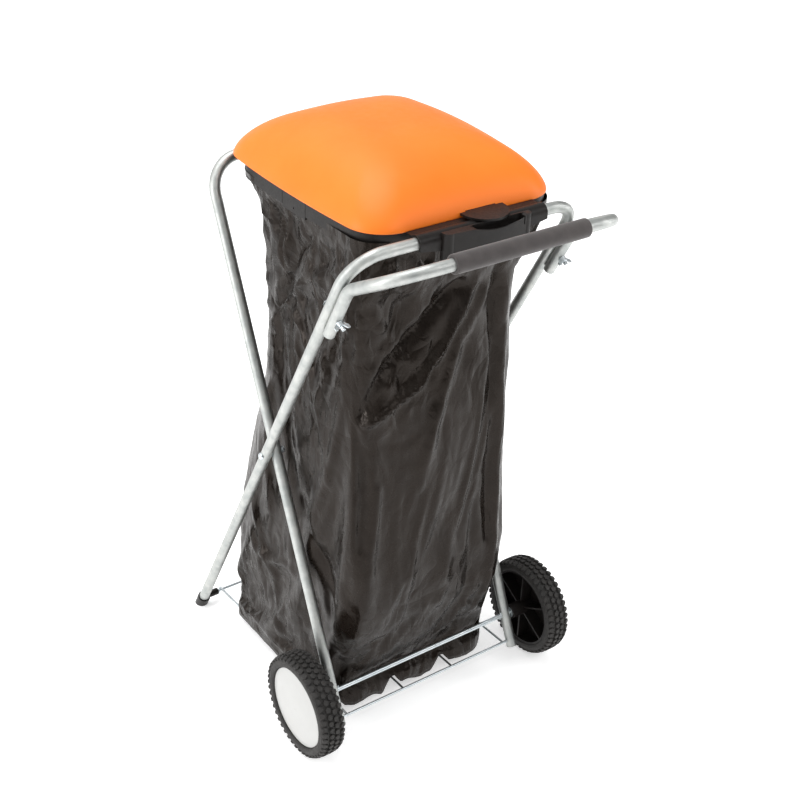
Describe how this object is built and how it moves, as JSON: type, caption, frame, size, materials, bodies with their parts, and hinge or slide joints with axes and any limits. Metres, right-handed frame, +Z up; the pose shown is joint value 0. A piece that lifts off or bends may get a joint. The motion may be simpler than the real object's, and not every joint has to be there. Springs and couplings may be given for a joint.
{
  "type": "bin bag trolley",
  "caption": "Folding trolley of crossed steel tubes that holds a bin bag open under a domed hinged lid, with a wire tray for its base, solid wheels and a foam grip.",
  "frame": {"origin": "on the floor under the middle of the part's box", "axes": "+Z up, +X to the right as seen from the handle, -Y towards the handle and wheels"},
  "size_m": [0.519, 0.624, 1.0028],
  "materials": {
    "satin_zinc": "satin zinc plated",
    "bright_zinc": "bright zinc plated",
    "foam": "matt closed-cell foam",
    "black_plastic": "finely grained moulding",
    "hubcap": "smooth, blank",
    "tyre": "block tread",
    "orange_plastic": "satin moulding",
    "bag_film": "thin crumpled film"
  },
  "bodies": {
    "foot_frame": {"foot_frame_tube": "satin_zinc", "handle_tube": "satin_zinc", "foam_grip": "foam", "foot_cap_left": "black_plastic", "foot_cap_right": "black_plastic", "foot_rod": "bright_zinc", "pivot_bolt_left": "bright_zinc", "pivot_bolt_right": "bright_zinc", "pivot_nut_left": "bright_zinc", "pivot_nut_right": "bright_zinc", "pivot_washer_left": "bright_zinc", "pivot_washer_right": "bright_zinc", "handle_bolt_left": "bright_zinc", "handle_bolt_right": "bright_zinc", "wing_nut_left": "bright_zinc", "wing_nut_right": "bright_zinc", "bag": "bag_film"},
    "wheel_frame": {"wheel_frame_tube": "satin_zinc", "axle": "bright_zinc", "axle_pin_left": "bright_zinc", "axle_pin_right": "bright_zinc", "wheel_washer_left": "bright_zinc", "wheel_washer_right": "bright_zinc", "axle_clip_left": "bright_zinc", "axle_clip_right": "bright_zinc"},
    "wheel_left": {"rim_left": "black_plastic", "tyre_left": "tyre", "hubcap_left": "hubcap"},
    "wheel_right": {"rim_right": "black_plastic", "tyre_right": "tyre", "hubcap_right": "hubcap"},
    "tray": {"bag_tray": "bright_zinc"},
    "ring": {"bag_ring": "black_plastic", "bag_clamp_ring": "black_plastic", "hinge_pin_left": "bright_zinc", "hinge_pin_right": "bright_zinc"},
    "lid": {"lid": "orange_plastic", "lid_grip_tab": "black_plastic"}
  },
  "joints": [
    {"name": "fold", "type": "hinge", "parent": "foot_frame", "child": "wheel_frame", "pos_m": [0, 0.04522, 0.4712], "axis": [1, 0, 0], "range_deg": [0, 45], "deforming": ["bag"]},
    {"name": "ring_swing", "type": "hinge", "parent": "foot_frame", "child": "ring", "pos_m": [0, -0.18835, 0.90502], "axis": [1, 0, 0], "range_deg": [0, 75]},
    {"name": "tray_swing", "type": "hinge", "parent": "wheel_frame", "child": "tray", "pos_m": [0, -0.14803, 0.04538], "axis": [1, 0, 0], "range_deg": [0, 54]},
    {"name": "lid_hinge", "type": "hinge", "parent": "ring", "child": "lid", "pos_m": [0.0174, 0.26132, 0.91802], "axis": [-1, 0, 0], "range_deg": [0, 105]},
    {"name": "wheel_left_spin", "type": "hinge", "parent": "wheel_frame", "child": "wheel_left", "pos_m": [-0.23, -0.12778, 0.09], "axis": [1, 0, 0], "continuous": true},
    {"name": "wheel_right_spin", "type": "hinge", "parent": "wheel_frame", "child": "wheel_right", "pos_m": [0.23, -0.12778, 0.09], "axis": [1, 0, 0], "continuous": true}
  ],
  "couplings": [
    {"joint": "ring_swing", "follows": "fold", "ratio": 1.6667},
    {"joint": "tray_swing", "follows": "fold", "ratio": 1.2}
  ]
}
